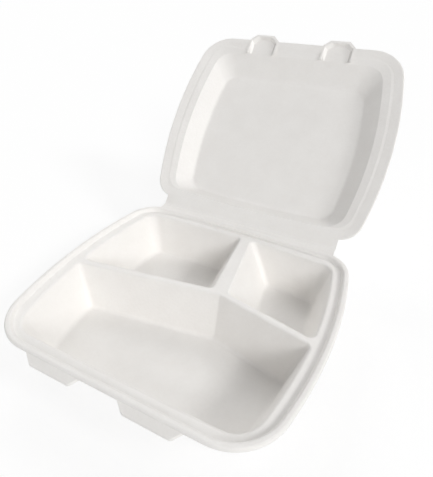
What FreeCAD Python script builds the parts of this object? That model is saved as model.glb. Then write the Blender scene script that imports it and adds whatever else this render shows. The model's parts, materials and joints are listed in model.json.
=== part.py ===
import FreeCAD, Part
import math
import os

V = FreeCAD.Vector
WELLS = ("front", "left", "right")

# Sheet
SHEET = 2.5
LID_SHEET = 2.2
CREASE_SHEET = 1.6

# Tray, outer edge of the rim
TRAY_WIDTH = 240.0
TRAY_DEPTH = 205.0
SIDE_BULGE = 14.6
FRONT_BULGE = 0.8
BACK_BULGE = 5.5
FRONT_CORNER = 40.0
BACK_CORNER = 28.0

# Tray, heights
CREST_Z = 45.0
LEDGE_Z = 41.0
LIP_FOOT = 6.8
LEDGE_SIDE = 14.0
LEDGE_FRONT = 13.0
LEDGE_BACK = 12.0

# Tray, compartment floors
FLOOR_SIDE = 28.5
FLOOR_FRONT = 25.0
FLOOR_BACK = 22.0
FLOOR_CORNER_FRONT = 11.0
FLOOR_CORNER_BACK = 8.0
MOUTH_CORNER_FRONT = 20.0
MOUTH_CORNER_BACK = 13.0
FLOOR_ROUND = 4.0
WALL_ROUND = 4.5
RIDGE_ROUND = 2.2

# Tray, dividers, as lines at the height of the ledge
BEND_X = 25.5
BEND_FRONT_Y = 11.0
BEND_BACK_Y = 16.7
LEFT_ARM_RISE = 0.15
RIGHT_ARM_FALL = 0.20
ARM_LEAN = 12.0
SHORT_LEFT_X = 8.0
SHORT_RIGHT_X = 18.8
SHORT_REF_Y = 80.0
SHORT_LEFT_RISE = 0.13
SHORT_RIGHT_RISE = 0.18
SHORT_LEAN = 19.5

# Latch tongues of the tray
TONGUE_LEFT_X = -43.0
TONGUE_RIGHT_X = 36.5
TONGUE_ROOT = 52.0
TONGUE_TIP = 36.0
TONGUE_REACH = 3.8
TONGUE_DROP = 6.0
TONGUE_ROUND = 6.0

# Hinge
STRIP_HALF = 92.0
CREASE_OUT = 2.9
CREASE_DOWN = 1.4
CREASE_GAP = 0.4
CREASE_PINCH = 0.6
PINCH_LENGTH = 2.2
OPEN_ANGLE = 133.2

# Lid, outer edge of the rim
LID_GAP = 0.4
LID_WIDTH = 236.5
LID_DEPTH = 197.5
LID_SIDE_BULGE = 13.9
LID_BACK_BULGE = 5.7
LID_FRONT_CORNER = 33.0
LID_BACK_CORNER = 21.0
LID_FRONT_STEP = 2.1

# Lid, dome
RIM_END = 9.0
RIM_RISE = 1.1
BAND_RISE = 2.6
BAND_SIDE = 19.0
BAND_FRONT = 17.0
BAND_BACK = 10.5
PANEL_RISE = 15.0
PANEL_SIDE = 35.5
PANEL_FRONT = 39.5
PANEL_BACK = 18.5
PANEL_CORNER = 14.0
PANEL_ROUND = 5.0

# Lid, latch pockets
POCKET_X = 41.5
POCKET_ROOT = 34.0
POCKET_TIP = 20.0
POCKET_REACH = 6.5
POCKET_RISE = 3.4
POCKET_SPREAD = 5.0
POCKET_LIFT = 0.05
POCKET_BACK = 16.0

# The origin lies under the middle of the front compartment, this far in front of the rim's middle
ORIGIN_FORWARD = 41.0

# Lines worked out from the sizes above
TRAY_BACK = TRAY_DEPTH / 2
CREASE_Y = TRAY_BACK + CREASE_OUT
CREASE_Z = CREST_Z - CREASE_DOWN
LID_Z = CREST_Z + LID_GAP
LID_FRONT = -TRAY_BACK + LID_FRONT_STEP
LID_BACK = LID_FRONT + LID_DEPTH


def meet(c1, r1, c2, r2, near):
    """Crossing point of two circles, the one on the side of the point near."""
    gap = c2.sub(c1)
    d = gap.Length
    a = (r1 * r1 - r2 * r2 + d * d) / (2 * d)
    h = math.sqrt(max(r1 * r1 - a * a, 0.0))
    mid = c1.add(gap * (a / d))
    side = V(-gap.y, gap.x, 0) * (h / d)
    p = mid.add(side)
    q = mid.sub(side)
    return p if p.distanceToPoint(near) < q.distanceToPoint(near) else q


def arc_radius(chord, rise):
    return (chord * chord / 4 + rise * rise) / (2 * rise)


def turn(centre, point):
    return math.atan2(point.y - centre.y, point.x - centre.x)


def ring_arcs(width, front, back, side_rise, front_rise, back_rise, front_r, back_r, inset=0.0):
    """Four bowed sides and four round corners, run into each other, as centre, radius, start, sweep."""
    half = width / 2
    mid = (front + back) / 2
    depth = back - front
    rx = arc_radius(depth, side_rise)
    rf = arc_radius(width, front_rise)
    rb = arc_radius(width, back_rise)
    right = (V(half - rx, mid, 0), rx)
    left = (V(rx - half, mid, 0), rx)
    fore = (V(0, front + rf, 0), rf)
    rear = (V(0, back - rb, 0), rb)
    sides = [rear, left, fore, right]
    corners = [V(-half, back, 0), V(-half, front, 0), V(half, front, 0), V(half, back, 0)]
    radii = [back_r, front_r, front_r, back_r]
    joined = []
    for i in range(4):
        c1, r1 = sides[i]
        c2, r2 = sides[(i + 1) % 4]
        c = meet(c1, r1 - radii[i], c2, r2 - radii[i], corners[i])
        joined.append((c, turn(c1, c), turn(c2, c)))
    arcs = []
    for i in range(4):
        c, start, end = joined[i]
        arcs.append((c, radii[i] - inset, start, (end - start) % (2 * math.pi)))
        side_c, side_r = sides[(i + 1) % 4]
        following = joined[(i + 1) % 4][1]
        arcs.append((side_c, side_r - inset, end, (following - end) % (2 * math.pi)))
    return arcs


def on_arc(arc, share, z):
    c, r, start, sweep = arc
    a = start + sweep * share
    return V(c.x + r * math.cos(a), c.y + r * math.sin(a), z)


def arc_wire(arcs, z):
    edges = []
    for arc in arcs:
        edges.append(Part.Arc(on_arc(arc, 0, z), on_arc(arc, 0.5, z), on_arc(arc, 1, z)).toShape())
    return Part.Wire(edges)


def profile_face(arc, steps):
    """Upright face across the rim at the start of an arc. A step is a point, or a bend's middle and end."""
    def place(s, z):
        c, r, start, sweep = arc
        return V(c.x + (r - s) * math.cos(start), c.y + (r - s) * math.sin(start), z)
    edges = []
    here = place(*steps[0])
    for step in steps[1:]:
        if len(step) == 4:
            end = place(step[2], step[3])
            edges.append(Part.Arc(here, place(step[0], step[1]), end).toShape())
        else:
            end = place(*step)
            edges.append(Part.makeLine(here, end))
        here = end
    edges.append(Part.makeLine(here, place(*steps[0])))
    return Part.Face(Part.Wire(edges))


def swept_ring(arcs, steps):
    """The profile carried all the way round the outline."""
    faces = []
    for arc in arcs:
        rim = profile_face(arc, steps).OuterWire
        centre = V(arc[0].x, arc[0].y, 0)
        faces += rim.revolve(centre, V(0, 0, 1), math.degrees(arc[3])).Faces
    shell = Part.makeShell(faces)
    shell.sewShape()
    return Part.makeSolid(shell)


def tray_arcs(inset):
    return ring_arcs(TRAY_WIDTH, -TRAY_BACK, TRAY_BACK, SIDE_BULGE, FRONT_BULGE, BACK_BULGE,
                     FRONT_CORNER, BACK_CORNER, inset)


def well_wire(z, grow):
    """Outline of the wells' outer walls at a height, between the floor and the ledge or beyond."""
    share = (z - SHEET) / (LEDGE_Z - SHEET)
    side = FLOOR_SIDE + (LEDGE_SIDE - FLOOR_SIDE) * share - grow
    front = FLOOR_FRONT + (LEDGE_FRONT - FLOOR_FRONT) * share - grow
    back = FLOOR_BACK + (LEDGE_BACK - FLOOR_BACK) * share - grow
    front_r = FLOOR_CORNER_FRONT + (MOUTH_CORNER_FRONT - FLOOR_CORNER_FRONT) * share + grow
    back_r = FLOOR_CORNER_BACK + (MOUTH_CORNER_BACK - FLOOR_CORNER_BACK) * share + grow
    width = TRAY_WIDTH - 2 * side
    shrink = (TRAY_DEPTH - front - back) / TRAY_DEPTH
    arcs = ring_arcs(width, -TRAY_BACK + front, TRAY_BACK - back, SIDE_BULGE * shrink * shrink,
                     FRONT_BULGE, BACK_BULGE * (width / TRAY_WIDTH) ** 2, front_r, back_r)
    return arc_wire(arcs, z)


def beyond(corner_points, push):
    face = Part.Face(Part.makePolygon(corner_points + [corner_points[0]]))
    return face.extrude(push)


def arm_side(y_bend, slope, lean, grow, way):
    """The space on one side of a leaning divider face that runs across the tray."""
    tilt = lean / (LEDGE_Z - SHEET)
    shift = grow * math.sqrt(1 + slope * slope + tilt * tilt)

    def y_at(x, z):
        return y_bend + slope * (x - BEND_X) + way * tilt * (LEDGE_Z - z) + way * -1 * shift
    low, high = -30.0, 80.0
    points = [V(-250, y_at(-250, low), low), V(250, y_at(250, low), low),
              V(250, y_at(250, high), high), V(-250, y_at(-250, high), high)]
    return beyond(points, V(0, way * 400, 0))


def short_side(x_ref, rise, grow, way):
    """The space on one side of a leaning face of the short divider."""
    tilt = SHORT_LEAN / (LEDGE_Z - SHEET)
    shift = grow * math.sqrt(1 + rise * rise + tilt * tilt)

    def x_at(y, z):
        return x_ref + rise * (SHORT_REF_Y - y) + way * tilt * (LEDGE_Z - z) - way * shift
    low, high = -30.0, 80.0
    points = [V(x_at(-250, low), -250, low), V(x_at(250, low), 250, low),
              V(x_at(250, high), 250, high), V(x_at(-250, high), -250, high)]
    return beyond(points, V(way * 500, 0, 0))


def upright_edges(body, low, high):
    """Edges that climb from the well's floor to its mouth."""
    found = []
    for edge in body.Edges:
        box = edge.BoundBox
        if box.ZMax - box.ZMin > 0.8 * (high - low):
            found.append(edge)
    return found


def level_edges(body, z):
    found = []
    for edge in body.Edges:
        box = edge.BoundBox
        if abs(box.ZMax - z) < 0.01 and abs(box.ZMin - z) < 0.01:
            found.append(edge)
    return found


def well(name, low, high, grow):
    """One compartment, as the solid that fills it. A grow of one sheet gives its outer skin."""
    whole = Part.makeLoft([well_wire(low, grow), well_wire(high, grow)], True, True)
    if name == "front":
        cuts = [arm_side(BEND_FRONT_Y, LEFT_ARM_RISE, ARM_LEAN, grow, -1),
                arm_side(BEND_FRONT_Y, -RIGHT_ARM_FALL, ARM_LEAN, grow, -1)]
    elif name == "left":
        cuts = [arm_side(BEND_BACK_Y, LEFT_ARM_RISE, ARM_LEAN, grow, 1),
                short_side(SHORT_LEFT_X, SHORT_LEFT_RISE, grow, -1)]
    else:
        cuts = [arm_side(BEND_BACK_Y, -RIGHT_ARM_FALL, ARM_LEAN, grow, 1),
                short_side(SHORT_RIGHT_X, SHORT_RIGHT_RISE, grow, 1)]
    body = whole
    for cut in cuts:
        body = body.common(cut)
    body = body.removeSplitter()
    body = body.makeFillet(WALL_ROUND + grow, upright_edges(body, low, high))
    return body.makeFillet(FLOOR_ROUND + grow, level_edges(body, low))


def tongue(x):
    """Latch tongue that hangs off the front lip, wide at its root."""
    def across(half, y, z):
        return Part.makePolygon([V(x - half, y, z - SHEET / 2), V(x + half, y, z - SHEET / 2),
                                 V(x + half, y, z + SHEET / 2), V(x - half, y, z + SHEET / 2),
                                 V(x - half, y, z - SHEET / 2)])
    root_y = -TRAY_BACK + 2.0
    tip_y = -TRAY_BACK - TONGUE_REACH
    root_z = CREST_Z - 2.2
    body = Part.makeLoft([across(TONGUE_ROOT / 2, root_y, root_z),
                          across(TONGUE_TIP / 2, tip_y, root_z - TONGUE_DROP)], True, True)
    tips = [edge for edge in body.Edges if edge.BoundBox.YMax < tip_y + 0.1 and edge.BoundBox.XLength < 0.1]
    return body.makeFillet(TONGUE_ROUND, tips)


def across_strip(section):
    """A section of the hinge strip drawn out over the strip's whole width."""
    face = Part.Face(Part.makePolygon(section + [section[0]]))
    face.translate(V(-STRIP_HALF, 0, 0))
    return face.extrude(V(2 * STRIP_HALF, 0, 0))


def mouth_edges(body):
    """Edges where the wells open through the ledge."""
    widest = None
    for face in body.Faces:
        box = face.BoundBox
        if box.ZMax - box.ZMin < 0.001 and abs(box.ZMax - LEDGE_Z) < 0.001:
            if widest is None or face.Area > widest.Area:
                widest = face
    found = []
    for wire in widest.Wires:
        if not wire.isSame(widest.OuterWire):
            found += wire.Edges
    return found


def tray():
    lip = [(0.3, LEDGE_Z + 0.2), (0.0, LEDGE_Z + 0.9), (0.0, CREST_Z - 1.6),
           (0.47, CREST_Z - 0.47, 1.6, CREST_Z), (3.0, CREST_Z), (4.1, CREST_Z - 0.4, 4.8, CREST_Z - 1.5),
           (5.5, LEDGE_Z + 0.8), (6.0, LEDGE_Z + 0.2, LIP_FOOT, LEDGE_Z),
           (LIP_FOOT + 1.0, LEDGE_Z), (LIP_FOOT + 1.0, LEDGE_Z - SHEET), (LIP_FOOT - 1.8, LEDGE_Z - SHEET),
           (2.9, LEDGE_Z + 0.2)]
    rim = swept_ring(tray_arcs(0.0), lip)
    ledge_wire = arc_wire(tray_arcs(LIP_FOOT + 1.0), LEDGE_Z - SHEET)
    ledge = Part.Face(ledge_wire).extrude(V(0, 0, SHEET))
    skins = [well(name, 0.0, LEDGE_Z - 0.8, SHEET) for name in WELLS]
    strip_high = CREASE_Z - CREASE_GAP / 2
    strip_end = CREASE_Y - CREASE_GAP / 2
    section = [V(0, TRAY_BACK - 6.0, strip_high - CREASE_SHEET), V(0, TRAY_BACK - 6.0, strip_high),
               V(0, strip_end, strip_high), V(0, strip_end, strip_high - CREASE_PINCH),
               V(0, strip_end - PINCH_LENGTH, strip_high - CREASE_SHEET)]
    strip = across_strip(section)
    body = rim.fuse([ledge] + skins + [strip, tongue(TONGUE_LEFT_X), tongue(TONGUE_RIGHT_X)])
    body = body.cut([well(name, SHEET, CREST_Z + 3.0, 0.0) for name in WELLS])
    body = body.removeSplitter()
    return body.makeFillet(RIDGE_ROUND, mouth_edges(body))


def lid_arcs(inset):
    return ring_arcs(LID_WIDTH, LID_FRONT, LID_BACK, LID_SIDE_BULGE, FRONT_BULGE, LID_BACK_BULGE,
                     LID_FRONT_CORNER, LID_BACK_CORNER, inset)


def dome_wire(z, side, front, back, corner):
    width = LID_WIDTH - 2 * side
    depth = LID_DEPTH - front - back
    share = depth / LID_DEPTH
    arcs = ring_arcs(width, LID_FRONT + front, LID_BACK - back, LID_SIDE_BULGE * share * share,
                     FRONT_BULGE, LID_BACK_BULGE * (width / LID_WIDTH) ** 2, corner, corner)
    return arc_wire(arcs, LID_Z + z)


def outside(z, low, high, low_s, high_s):
    """Inset of the dome's outer skin at a height, a sheet's thickness off the inner slope."""
    slope = (high - low) / (high_s - low_s)
    return low_s + (z - low - LID_SHEET * math.sqrt(1 + slope * slope)) / slope


def stack(low, mid, top):
    lower = Part.makeLoft([low, mid], True, True)
    upper = Part.makeLoft([mid, top], True, True)
    return lower.fuse(upper)


def rounded(body, z, radius):
    return body.makeFillet(radius, level_edges(body, z))


def pocket(x, z, rise, sheet, spread):
    """Solid for a latch pocket. Spread is how far its walls lean in from its open underside to its top."""
    def outline(level):
        lean = spread * (level - LID_Z) / (POCKET_RISE + LID_SHEET)
        tip = POCKET_TIP / 2 - sheet - lean
        root = POCKET_ROOT / 2 - sheet - lean
        tip_y = LID_FRONT - POCKET_REACH + sheet + lean * 0.5
        root_y = LID_FRONT + sheet * 0.5 + lean * 0.5
        back_y = LID_FRONT + POCKET_BACK
        points = [V(x - root, back_y, level), V(x + root, back_y, level), V(x + root, root_y, level),
                  V(x + tip, tip_y, level), V(x - tip, tip_y, level), V(x - root, root_y, level)]
        return Part.makePolygon(points + [points[0]])
    return Part.makeLoft([outline(z), outline(LID_Z + rise)], True, True)


def lid_flap():
    """The lid's half of the hinge strip, from under its back rim down to the crease."""
    end_y = CREASE_Y - CREASE_GAP / 2
    end_z = CREASE_Z + CREASE_GAP / 2
    section = [V(0, LID_BACK - 12.0, LID_Z), V(0, end_y - 2.4, LID_Z), V(0, end_y, end_z),
               V(0, end_y, end_z + CREASE_PINCH), V(0, end_y - PINCH_LENGTH, LID_Z + CREASE_SHEET),
               V(0, LID_BACK - 12.0, LID_Z + CREASE_SHEET)]
    flap = across_strip(section)
    inside = Part.Face(arc_wire(lid_arcs(2.5), LID_Z - 1.0)).extrude(V(0, 0, 5.0))
    return flap.cut(inside)


def lid_closed():
    top = LID_Z + LID_SHEET
    rim = [(0.0, LID_Z + 0.7), (0.2, LID_Z + 0.2, 0.7, LID_Z), (1.5, LID_Z), (RIM_END, LID_Z + RIM_RISE),
           (RIM_END, top + RIM_RISE), (1.5, top), (0.9, top), (0.25, top - 0.25, 0.0, top - 0.9)]
    ring = swept_ring(lid_arcs(0.0), rim)
    low = RIM_RISE - 0.3
    start = RIM_RISE + LID_SHEET - 0.2
    foot = RIM_END + 0.7
    sides = ((foot, BAND_SIDE, PANEL_SIDE), (foot, BAND_FRONT, PANEL_FRONT), (foot, BAND_BACK, PANEL_BACK))
    corner_low = (LID_FRONT_CORNER + LID_BACK_CORNER) / 2 - foot
    corner_mid = PANEL_CORNER + 4.0
    inner_low = dome_wire(low, foot, foot, foot, corner_low)
    inner_mid = dome_wire(BAND_RISE, BAND_SIDE, BAND_FRONT, BAND_BACK, corner_mid)
    inner_top = dome_wire(PANEL_RISE, PANEL_SIDE, PANEL_FRONT, PANEL_BACK, PANEL_CORNER)
    hollow = stack(inner_low, inner_mid, inner_top)
    hollow = rounded(hollow, LID_Z + PANEL_RISE, PANEL_ROUND)
    begin = [outside(start, low, BAND_RISE, s[0], s[1]) for s in sides]
    knee = [outside(BAND_RISE + LID_SHEET, BAND_RISE, PANEL_RISE, s[1], s[2]) for s in sides]
    crown = [outside(PANEL_RISE + LID_SHEET, BAND_RISE, PANEL_RISE, s[1], s[2]) for s in sides]
    outer_low = dome_wire(start, begin[0], begin[1], begin[2], corner_low + 2)
    outer_mid = dome_wire(BAND_RISE + LID_SHEET, knee[0], knee[1], knee[2], corner_mid + 2)
    outer_top = dome_wire(PANEL_RISE + LID_SHEET, crown[0], crown[1], crown[2], PANEL_CORNER + 2)
    skin = stack(outer_low, outer_mid, outer_top)
    skin = rounded(skin, LID_Z + PANEL_RISE + LID_SHEET, PANEL_ROUND + LID_SHEET)
    plate_wire = arc_wire(lid_arcs(RIM_END - 0.5), LID_Z + RIM_RISE + 0.1)
    plate = Part.Face(plate_wire).extrude(V(0, 0, LID_SHEET - 0.2))
    domes = []
    troughs = []
    for x in (-POCKET_X, POCKET_X):
        domes.append(pocket(x, LID_Z + POCKET_LIFT, POCKET_RISE + LID_SHEET, 0.0, POCKET_SPREAD))
        troughs.append(pocket(x, LID_Z - 3.0, POCKET_RISE, LID_SHEET, POCKET_SPREAD))
    body = ring.fuse([plate, skin, lid_flap()]).fuse(domes)
    body = body.cut([hollow] + troughs)
    return body.removeSplitter()


def lid():
    body = lid_closed()
    body.rotate(V(0, CREASE_Y, CREASE_Z), V(-1, 0, 0), OPEN_ANGLE)
    return body


os.makedirs("parts", exist_ok=True)
tray_body = tray()
lid_body = lid()
tray_body.translate(V(0, ORIGIN_FORWARD, 0))
lid_body.translate(V(0, ORIGIN_FORWARD, 0))
tray_body.exportStep("parts/tray.step")
lid_body.exportStep("parts/lid.step")
for name, body in (("tray", tray_body), ("lid", lid_body)):
    print(name, body.isValid(), len(body.Solids), round(body.Volume))
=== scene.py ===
# %% [markdown]
# A foam meal box is one thin sheet of expanded polystyrene, heated and pressed between two moulds.
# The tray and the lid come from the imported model, and this lesson gives them their foam skin, the
# thin hinge that joins them, a quiet white studio and a camera at the height of a seated person.

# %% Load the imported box
import json
import math
import bpy
from mathutils import Matrix, Vector


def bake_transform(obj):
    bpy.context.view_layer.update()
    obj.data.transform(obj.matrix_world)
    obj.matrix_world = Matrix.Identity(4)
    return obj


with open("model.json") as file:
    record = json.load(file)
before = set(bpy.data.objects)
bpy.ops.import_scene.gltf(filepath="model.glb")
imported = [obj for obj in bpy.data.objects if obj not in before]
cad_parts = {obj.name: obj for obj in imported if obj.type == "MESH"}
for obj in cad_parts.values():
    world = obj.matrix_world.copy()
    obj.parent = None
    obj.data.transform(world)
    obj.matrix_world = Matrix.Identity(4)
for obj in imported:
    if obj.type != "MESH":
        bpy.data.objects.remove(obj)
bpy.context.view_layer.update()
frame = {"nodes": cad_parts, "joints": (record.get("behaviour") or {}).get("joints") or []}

# %% [markdown]
# A material is a small network of nodes. Written as sums and products it reads like a recipe, so a
# socket is wrapped in a class that knows plus, minus and times. Each operation adds one Math node.

# %% A socket that can be added and multiplied
class Socket:
    def __init__(self, bench, link):
        self.bench = bench
        self.link = link

    def maths(self, operation, *values):
        return self.bench.add("ShaderNodeMath", {"operation": operation}, dict(enumerate(values)))

    def __add__(self, other):
        return self.maths("ADD", self, other)

    def __radd__(self, other):
        return self.maths("ADD", other, self)

    def __sub__(self, other):
        return self.maths("SUBTRACT", self, other)

    def __rsub__(self, other):
        return self.maths("SUBTRACT", other, self)

    def __mul__(self, other):
        return self.maths("MULTIPLY", self, other)

    def __rmul__(self, other):
        return self.maths("MULTIPLY", other, self)

    def clipped(self, low, high):
        return self.maths("MINIMUM", self.maths("MAXIMUM", self, low), high)


print("sockets can be added, subtracted and multiplied")

# %% [markdown]
# Every other node comes from one method that takes the node's type, its settings and the values or
# links of its sockets. Materials and the world are both node trees, so one bench serves for both.
# Colours are mixed with a Mix node, because a Math node would turn them grey.

# %% A bench on which one material or world is put together
class Bench:
    def __init__(self, holder):
        holder.use_nodes = True
        self.holder = holder
        self.tree = holder.node_tree
        self.tree.nodes.clear()

    def add(self, kind, settings=None, values=None, out=0):
        node = self.tree.nodes.new(kind)
        for key, value in (settings or {}).items():
            setattr(node, key, value)
        for key, value in (values or {}).items():
            if isinstance(value, Socket):
                self.tree.links.new(value.link, node.inputs[key])
            else:
                node.inputs[key].default_value = value
        return Socket(self, node.outputs[out]) if node.outputs else None

    def mixed(self, share, first, second):
        """Two colours mixed. A Mix node keeps its colour sockets at places 6 and 7, and 2 on the way out."""
        return self.add("ShaderNodeMix", {"data_type": "RGBA"}, {0: share, 6: first, 7: second}, out=2)

    def close(self, shader, kind="ShaderNodeOutputMaterial"):
        self.add(kind, None, {"Surface": shader})
        return self.holder


print("the bench is ready")

# %% [markdown]
# Foam sheet is white but not even. Close up it shows a net of closed cells, each under a millimetre,
# pressed flat into a skin, and the whole surface is slightly wavy because the hot sheet never quite
# meets the mould. The cells could be modelled, but there are millions of them, so they are height in
# a bump: one Voronoi pattern for the cells, a coarser one for the beads, and noise for the waves.
# Scales are in patterns per metre and bump distances in metres.

# %% The foam's skin
CELL_SCALE, BEAD_SCALE, CLOUD_SCALE, WAVE_SCALE = 1150.0, 390.0, 46.0, 17.0
CELL_HEIGHT, BEAD_HEIGHT, WAVE_HEIGHT = 0.00012, 0.0005, 0.0016
FOAM_SHADE = (0.893, 0.872, 0.846, 1.0)
FOAM_WHITE = (0.930, 0.913, 0.889, 1.0)


def foam_patterns(bench, drift):
    """The net of cells, the beads, the cloudy patches and the waves, on the piece's own space."""
    place = bench.add("ShaderNodeTexCoord", out="Object")
    place = bench.add("ShaderNodeMapping", None, {"Vector": place, "Location": drift})
    cells = bench.add("ShaderNodeTexVoronoi", {"feature": "DISTANCE_TO_EDGE"},
                      {"Vector": place, "Scale": CELL_SCALE})
    beads = bench.add("ShaderNodeTexVoronoi", {"feature": "SMOOTH_F1"},
                      {"Vector": place, "Scale": BEAD_SCALE, "Smoothness": 0.6})
    cloud = bench.add("ShaderNodeTexNoise", None, {"Vector": place, "Scale": CLOUD_SCALE, "Detail": 4.0})
    waves = bench.add("ShaderNodeTexNoise", None, {"Vector": place, "Scale": WAVE_SCALE, "Detail": 1.0})
    net = (cells * 9.0).clipped(0.0, 1.0)
    patch = ((cloud - 0.35) * 3.0).clipped(0.0, 1.0)
    return net, beads, patch, waves


def raised(bench, height, strength, distance, below=None):
    """A bump on top of the one below it."""
    values = {"Height": height, "Strength": strength, "Distance": distance}
    if below is not None:
        values["Normal"] = below
    return bench.add("ShaderNodeBump", None, values)


def foam(name, drift, gloss=0.52, cell_depth=1.0):
    bench = Bench(bpy.data.materials.new(name))
    net, beads, patch, waves = foam_patterns(bench, drift)
    tone = (patch * 0.65 + beads * 0.5) * (0.7 + net * 0.3)
    colour = bench.mixed(tone.clipped(0.0, 1.0), FOAM_SHADE, FOAM_WHITE)
    polish = gloss + patch * 0.09 - net * 0.05
    sway = raised(bench, waves, 0.35, WAVE_HEIGHT)
    knobs = raised(bench, beads, 0.16, BEAD_HEIGHT, sway)
    skin = raised(bench, net, 0.22 * cell_depth, CELL_HEIGHT, knobs)
    shader = bench.add("ShaderNodeBsdfPrincipled", None,
                       {"Base Color": colour, "Roughness": polish, "Normal": skin,
                        "IOR": 1.42, "Specular IOR Level": 0.35})
    return bench.close(shader)


print("foam skin: cells %.1f mm apart, beads %.1f mm" % (1000 / CELL_SCALE, 1000 / BEAD_SCALE))

# %% [markdown]
# The tray and the lid are the same foam, so both use one recipe. Each gets its own drift, which moves
# the patterns, or the two would show the same clouds. Along the crease the press leaves the cells
# flat and the skin a little glossier.

# %% Tray, lid and crease foam
tray_foam = foam("tray foam", (0.0, 0.0, 0.0))
lid_foam = foam("lid foam", (0.31, 0.12, 0.27))
crease_foam = foam("pressed crease foam", (0.11, 0.53, 0.42), gloss=0.42, cell_depth=0.4)
for node, material in (("tray", tray_foam), ("lid", lid_foam)):
    piece = frame["nodes"][node]
    piece.data.materials.clear()
    piece.data.materials.append(material)
    print(node, len(piece.data.polygons), "faces get the", material.name)

# %% [markdown]
# The hinge is not a part of its own. The press squeezes the sheet to a film along one line, and the
# foam bends there. The tray and the lid are separate solids, so the film is a thin strip that lies
# over the line and turns smoothly with both halves. First come the points across the crease, in mm
# from the hinge line: flat over the tray's strip, round the bend, then along the lid's strip.

# %% The line across the crease
OPEN_ANGLE = math.radians(133.2)
SKIN_OFF = 0.16
LID_TAPER = 1.6 / 1.8
TRAY_STEPS = (2.2, 1.8, 1.4, 1.0, 0.7, 0.45, 0.25)
LID_STEPS = (0.3, 0.5, 0.8, 1.1, 1.4, 1.7, 1.95)

hinge = Vector(frame["joints"][0]["pos_m"])
lid_way = Vector((0, -math.cos(OPEN_ANGLE), math.sin(OPEN_ANGLE)))
lid_rise = Vector((0, math.sin(OPEN_ANGLE), math.cos(OPEN_ANGLE)))


def film_line():
    """Points across the crease with the way each one faces."""
    upward = Vector((0, 0, 1))
    points = [(Vector((0, -back, -SKIN_OFF)), upward) for back in TRAY_STEPS]
    points.append((Vector((0, 0.02, -0.12)), (upward - lid_rise).normalized()))
    for out in LID_STEPS:
        ramp = SKIN_OFF + (out - 0.2) * LID_TAPER
        points.append((lid_way * out + lid_rise * ramp, -lid_rise))
    return points


print("hinge line at", [round(1000 * v, 1) for v in hinge], "mm,", len(film_line()), "points across")

# %% [markdown]
# The film is then built as a closed band: the line is repeated at many stations along the hinge, once
# on top and once a sheet's thickness below, and neighbouring rings are joined with faces. It is
# blended from the tray to the lid, in the pose in which the lid stands open.

# %% The pressed film of the hinge
FILM_HALF = 0.0918
FILM_SHEET = 0.34
FILM_STATIONS = 93


def film_of_foam():
    """A closed band along the crease, one thin sheet thick."""
    line = film_line()
    vertices = []
    for i in range(FILM_STATIONS):
        x = FILM_HALF * (2 * i / (FILM_STATIONS - 1) - 1)
        for point, way in line:
            top = hinge + point / 1000
            vertices.append((x, top.y, top.z))
        for point, way in reversed(line):
            under = hinge + (point - way * FILM_SHEET) / 1000
            vertices.append((x, under.y, under.z))
    ring = 2 * len(line)
    last = (FILM_STATIONS - 1) * ring
    faces = [tuple(range(ring))[::-1], tuple(range(last, last + ring))]
    for i in range(FILM_STATIONS - 1):
        for j in range(ring):
            a, b = i * ring + j, i * ring + (j + 1) % ring
            faces.append((a, b, b + ring, a + ring))
    mesh = bpy.data.meshes.new("hinge_film")
    mesh.from_pydata(vertices, [], faces)
    mesh.update()
    mesh.materials.append(crease_foam)
    piece = bpy.data.objects.new("hinge_film", mesh)
    bpy.context.scene.collection.objects.link(piece)
    return piece


film = film_of_foam()
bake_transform(film)
print("film faces:", len(film.data.polygons))

# %% [markdown]
# The box stands on a white table top against white. The camera, and any ray that mirrors or shines
# through, sees the table lifted most of the way to white and the rest as plain card, which keeps the
# box's shadow. The light that the table throws back on the foam is that of plain card alone.

# %% Table top
TABLE_LIFT = 0.75
GLOW_STRENGTH = 1.09
CARD_WHITE = (0.82, 0.82, 0.82, 1.0)
PURE_WHITE = (1.0, 1.0, 1.0, 1.0)


def seen_directly(bench):
    """1 for rays from the camera, a gloss or clear matter, and 0 for rays that carry light."""
    camera_ray = bench.add("ShaderNodeLightPath", out="Is Camera Ray")
    glossy_ray = bench.add("ShaderNodeLightPath", out="Is Glossy Ray")
    clear_ray = bench.add("ShaderNodeLightPath", out="Is Transmission Ray")
    return (camera_ray + glossy_ray + clear_ray).clipped(0.0, 1.0)


def card():
    bench = Bench(bpy.data.materials.new("white table card"))
    matte = bench.add("ShaderNodeBsdfDiffuse", None, {"Color": CARD_WHITE})
    glow = bench.add("ShaderNodeEmission", None, {"Color": PURE_WHITE, "Strength": GLOW_STRENGTH})
    share = seen_directly(bench) * TABLE_LIFT
    return bench.close(bench.add("ShaderNodeMixShader", None, {0: share, 1: matte, 2: glow}))


bpy.ops.mesh.primitive_grid_add(x_subdivisions=8, y_subdivisions=8, size=12.0, location=(0, 0, -0.0002))
table = bpy.context.object
table.name = "table_top"
table.data.materials.append(card())
print("table top:", [round(v, 1) for v in table.dimensions], "m")

# %% [markdown]
# Soft light from all round makes foam look like foam. The room could be built as walls of card, but
# a plain world does the same with less noise: white where it is seen, and dimmer where it lights.

# %% The white room
ROOM_LIGHT = 0.30


def light_room(strength):
    bench = Bench(bpy.data.worlds.new("white room"))
    level = strength + seen_directly(bench) * (1.0 - strength)
    ground = bench.add("ShaderNodeBackground", None, {"Color": PURE_WHITE, "Strength": level})
    bpy.context.scene.world = bench.close(ground, "ShaderNodeOutputWorld")


light_room(ROOM_LIGHT)
print("world:", bpy.context.scene.world.name, "at", ROOM_LIGHT)

# %% [markdown]
# Two broad lamps, one on the right and one front right, make the walls that face right the brightest.
# Two weaker ones from behind lift the walls that face left and the floors, and a faint one from the
# front keeps the dividers from going grey. Sun lamps are used, since their light is the same
# wherever the lid swings, and a wide angle makes their shadows soft.

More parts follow.
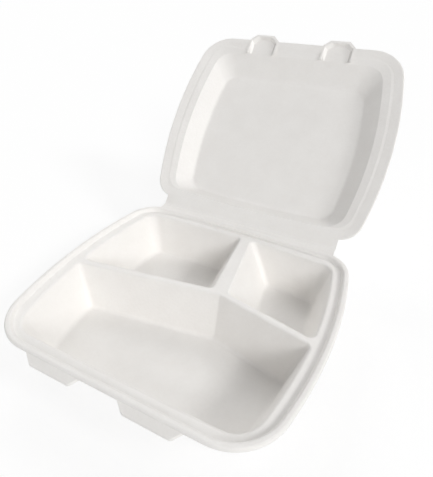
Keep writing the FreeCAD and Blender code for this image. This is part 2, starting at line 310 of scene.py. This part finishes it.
# %% Lamps
def sun(name, toward, strength, softness):
    """A lamp that shines from the direction toward, with its width in degrees as softness."""
    lamp = bpy.data.lights.new(name, "SUN")
    lamp.energy = strength
    lamp.angle = math.radians(softness)
    piece = bpy.data.objects.new(name, lamp)
    bpy.context.scene.collection.objects.link(piece)
    piece.rotation_mode = "QUATERNION"
    piece.rotation_quaternion = Vector(toward).to_track_quat("Z", "Y")


sun("key from the right", (0.824, 0.0, 0.566), 0.98, 14)
sun("second lamp from the front right", (0.62, -0.62, 0.48), 0.98, 22)
sun("lamp from behind left", (-0.54, 0.54, 0.64), 0.64, 24)
sun("lamp from behind", (0.0, 0.77, 0.64), 0.40, 24)
sun("weak lamp from the front", (0.0, -0.966, 0.259), 0.22, 24)

# %% [markdown]
# The camera stands front right of the box and looks down at it by 29 degrees. The photograph's
# frame cuts the view off centre, so the lens is shifted a little, and it leans by one degree.

# %% Camera
SENSOR = 36.0
FRAME_HEIGHT = 477
FOCAL_LENGTH = 448.14
VIEW_SHIFT = -48.5

eye = Vector((0.1550, -0.1890, 0.2882))
aim = Vector((0.02381, 0.05204, 0.13655))
roll = math.radians(-0.93)
forward = (aim - eye).normalized()
level_right = forward.cross(Vector((0, 0, 1))).normalized()
level_up = level_right.cross(forward)
right = level_right * math.cos(roll) + level_up * math.sin(roll)
up = level_up * math.cos(roll) - level_right * math.sin(roll)
lens = bpy.data.cameras.new("camera")
lens.sensor_width = SENSOR
lens.lens = SENSOR * FOCAL_LENGTH / FRAME_HEIGHT
lens.shift_y = VIEW_SHIFT / FRAME_HEIGHT
lens.clip_start = 0.01
lens.clip_end = 50.0
camera = bpy.data.objects.new("camera", lens)
bpy.context.scene.collection.objects.link(camera)
camera.matrix_world = Matrix((
    (right.x, up.x, -forward.x, eye.x),
    (right.y, up.y, -forward.y, eye.y),
    (right.z, up.z, -forward.z, eye.z),
    (0, 0, 0, 1)))
bpy.context.scene.camera = camera
bpy.context.scene.view_settings.view_transform = "Standard"
print("camera", [round(v, 3) for v in camera.location], "lens", round(lens.lens, 2))
